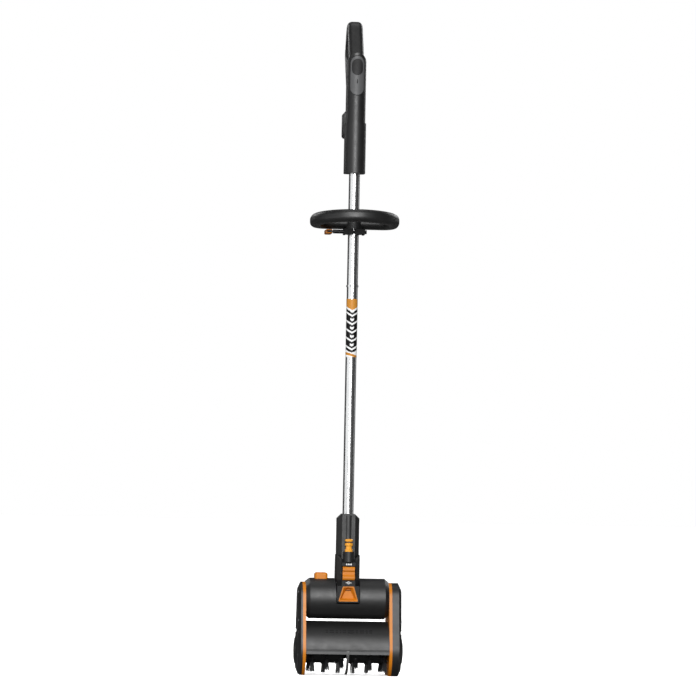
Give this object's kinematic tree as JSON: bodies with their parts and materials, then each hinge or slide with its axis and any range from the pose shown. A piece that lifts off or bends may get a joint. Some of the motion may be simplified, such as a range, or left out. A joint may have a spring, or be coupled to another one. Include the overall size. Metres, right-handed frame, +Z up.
{
  "type": "cordless roller brush surface cleaner",
  "caption": "Stand-up roller brush cleaner with a hinged neck, water inlet and spray nozzle, long tube, D-shaped grip and sliding second handle.",
  "frame": {"origin": "on the floor, under the axis of the tube when the tube stands upright", "axes": "+Z up the tube, -Y to the front where the nozzle and water inlet are, +X to the belt side"},
  "size_m": [0.2145, 0.2239, 1.314],
  "materials": {
    "black_plastic": "fine moulded grain",
    "charcoal_plastic": "satin moulded",
    "orange_plastic": "satin moulded",
    "amber_plastic": "glossy moulded",
    "grey_plastic": "satin moulded",
    "button_black": "soft touch",
    "pale_strip": "flexible strip",
    "rubber": "matte rubber",
    "bristle": "stiff nylon filament",
    "decal_film": "printed film",
    "aluminium": "satin anodised",
    "cell_metal": "sleeved cell",
    "steel": "brushed",
    "dark_steel": "blackened"
  },
  "bodies": {
    "head": {"left_frame_plate": "orange_plastic", "right_frame_plate": "orange_plastic", "left_upper_cover": "black_plastic", "right_upper_cover": "black_plastic", "left_lower_cap": "black_plastic", "right_lower_cap": "black_plastic", "head_screws": "dark_steel", "left_motor_housing": "charcoal_plastic", "right_motor_housing": "charcoal_plastic", "brush_hood": "charcoal_plastic", "splash_strip": "pale_strip", "joint_tine": "steel", "motor_can": "dark_steel", "bearings": "steel", "drive_belt": "rubber", "control_board": "grey_plastic", "pedal_spring": "steel"},
    "pedal": {"tilt_pedal": "orange_plastic"},
    "lock_pin": {"lock_pin": "steel"},
    "brush": {"brush_axle": "steel", "brush_cores": "black_plastic", "brush_bristles": "bristle", "brush_pulley": "black_plastic"},
    "rotor": {"motor_rotor": "steel", "motor_pulley": "black_plastic"},
    "neck": {"neck_body": "black_plastic", "neck_front_cover": "black_plastic", "spray_nozzle": "orange_plastic", "valve_body": "black_plastic", "inlet_boss": "black_plastic", "hose_nipple": "amber_plastic", "inlet_seal": "rubber", "socket_front_shell": "black_plastic", "socket_rear_shell": "black_plastic", "shell_screws": "dark_steel", "lower_tube": "aluminium", "upper_tube": "aluminium", "tube_coupler": "aluminium", "joint_ring": "aluminium", "tube_wrap": "decal_film", "motor_lead": "rubber", "handle_front_cover": "black_plastic", "handle_left_shell": "black_plastic", "handle_right_shell": "black_plastic", "control_panel": "grey_plastic", "grip_pad": "rubber", "switch_module": "black_plastic", "terminal_block": "grey_plastic"},
    "rocker": {"valve_rocker": "orange_plastic"},
    "aux": {"aux_loop": "black_plastic", "aux_clamp": "black_plastic", "aux_bolt": "dark_steel"},
    "aux_lever": {"aux_lever": "orange_plastic"},
    "trigger": {"trigger": "orange_plastic"},
    "power_button": {"power_button": "button_black"},
    "battery": {"battery_case": "black_plastic", "battery_cells": "cell_metal"},
    "battery_latch": {"battery_latch": "orange_plastic"}
  },
  "joints": [
    {"name": "neck_tilt", "type": "hinge", "parent": "head", "child": "neck", "pos_m": [0, 0, 0.152], "axis": [-1, 0, 0], "range_deg": [0, 60]},
    {"name": "pedal_press", "type": "slide", "parent": "head", "child": "pedal", "axis": [0, 0, -1], "range_m": [0, 0.005], "stiffness_N_per_m": 2000, "springref_m": -0.002, "deforming": ["pedal_spring"]},
    {"name": "pin_slide", "type": "slide", "parent": "head", "child": "lock_pin", "axis": [-1, 0, 0], "range_m": [0, 0.004]},
    {"name": "brush_spin", "type": "hinge", "parent": "head", "child": "brush", "pos_m": [0, 0, 0.048], "axis": [1, 0, 0], "continuous": true},
    {"name": "rotor_spin", "type": "hinge", "parent": "head", "child": "rotor", "pos_m": [0, 0, 0.152], "axis": [1, 0, 0], "continuous": true},
    {"name": "rocker_tilt", "type": "hinge", "parent": "neck", "child": "rocker", "pos_m": [0, -0.038, 0.203], "axis": [1, 0, 0], "range_deg": [-8, 8]},
    {"name": "aux_slide", "type": "slide", "parent": "neck", "child": "aux", "axis": [0, 0, 1], "range_m": [-0.09, 0.06]},
    {"name": "lever_swing", "type": "hinge", "parent": "aux", "child": "aux_lever", "pos_m": [-0.05, -0.0175, 0.88375], "axis": [0, 0, 1], "range_deg": [0, 100]},
    {"name": "trigger_pull", "type": "hinge", "parent": "neck", "child": "trigger", "pos_m": [0, 0.08195, 1.23713], "axis": [1, 0, 0], "range_deg": [0, 6], "stiffness_Nm_per_rad": 0.6, "springref_deg": -5.73},
    {"name": "button_press", "type": "slide", "parent": "neck", "child": "power_button", "axis": [0, 1, 0], "range_m": [0, 0.0025], "stiffness_N_per_m": 600, "springref_m": -0.001},
    {"name": "battery_slide", "type": "slide", "parent": "neck", "child": "battery", "axis": [0, 1, 0], "range_m": [0, 0.05]},
    {"name": "latch_press", "type": "slide", "parent": "battery", "child": "battery_latch", "axis": [0, 0, -1], "range_m": [0, 0.002], "stiffness_N_per_m": 1500, "springref_m": -0.001}
  ],
  "couplings": [
    {"joint": "pin_slide", "follows": "pedal_press", "ratio": 0.8},
    {"joint": "rotor_spin", "follows": "brush_spin", "ratio": 3}
  ]
}
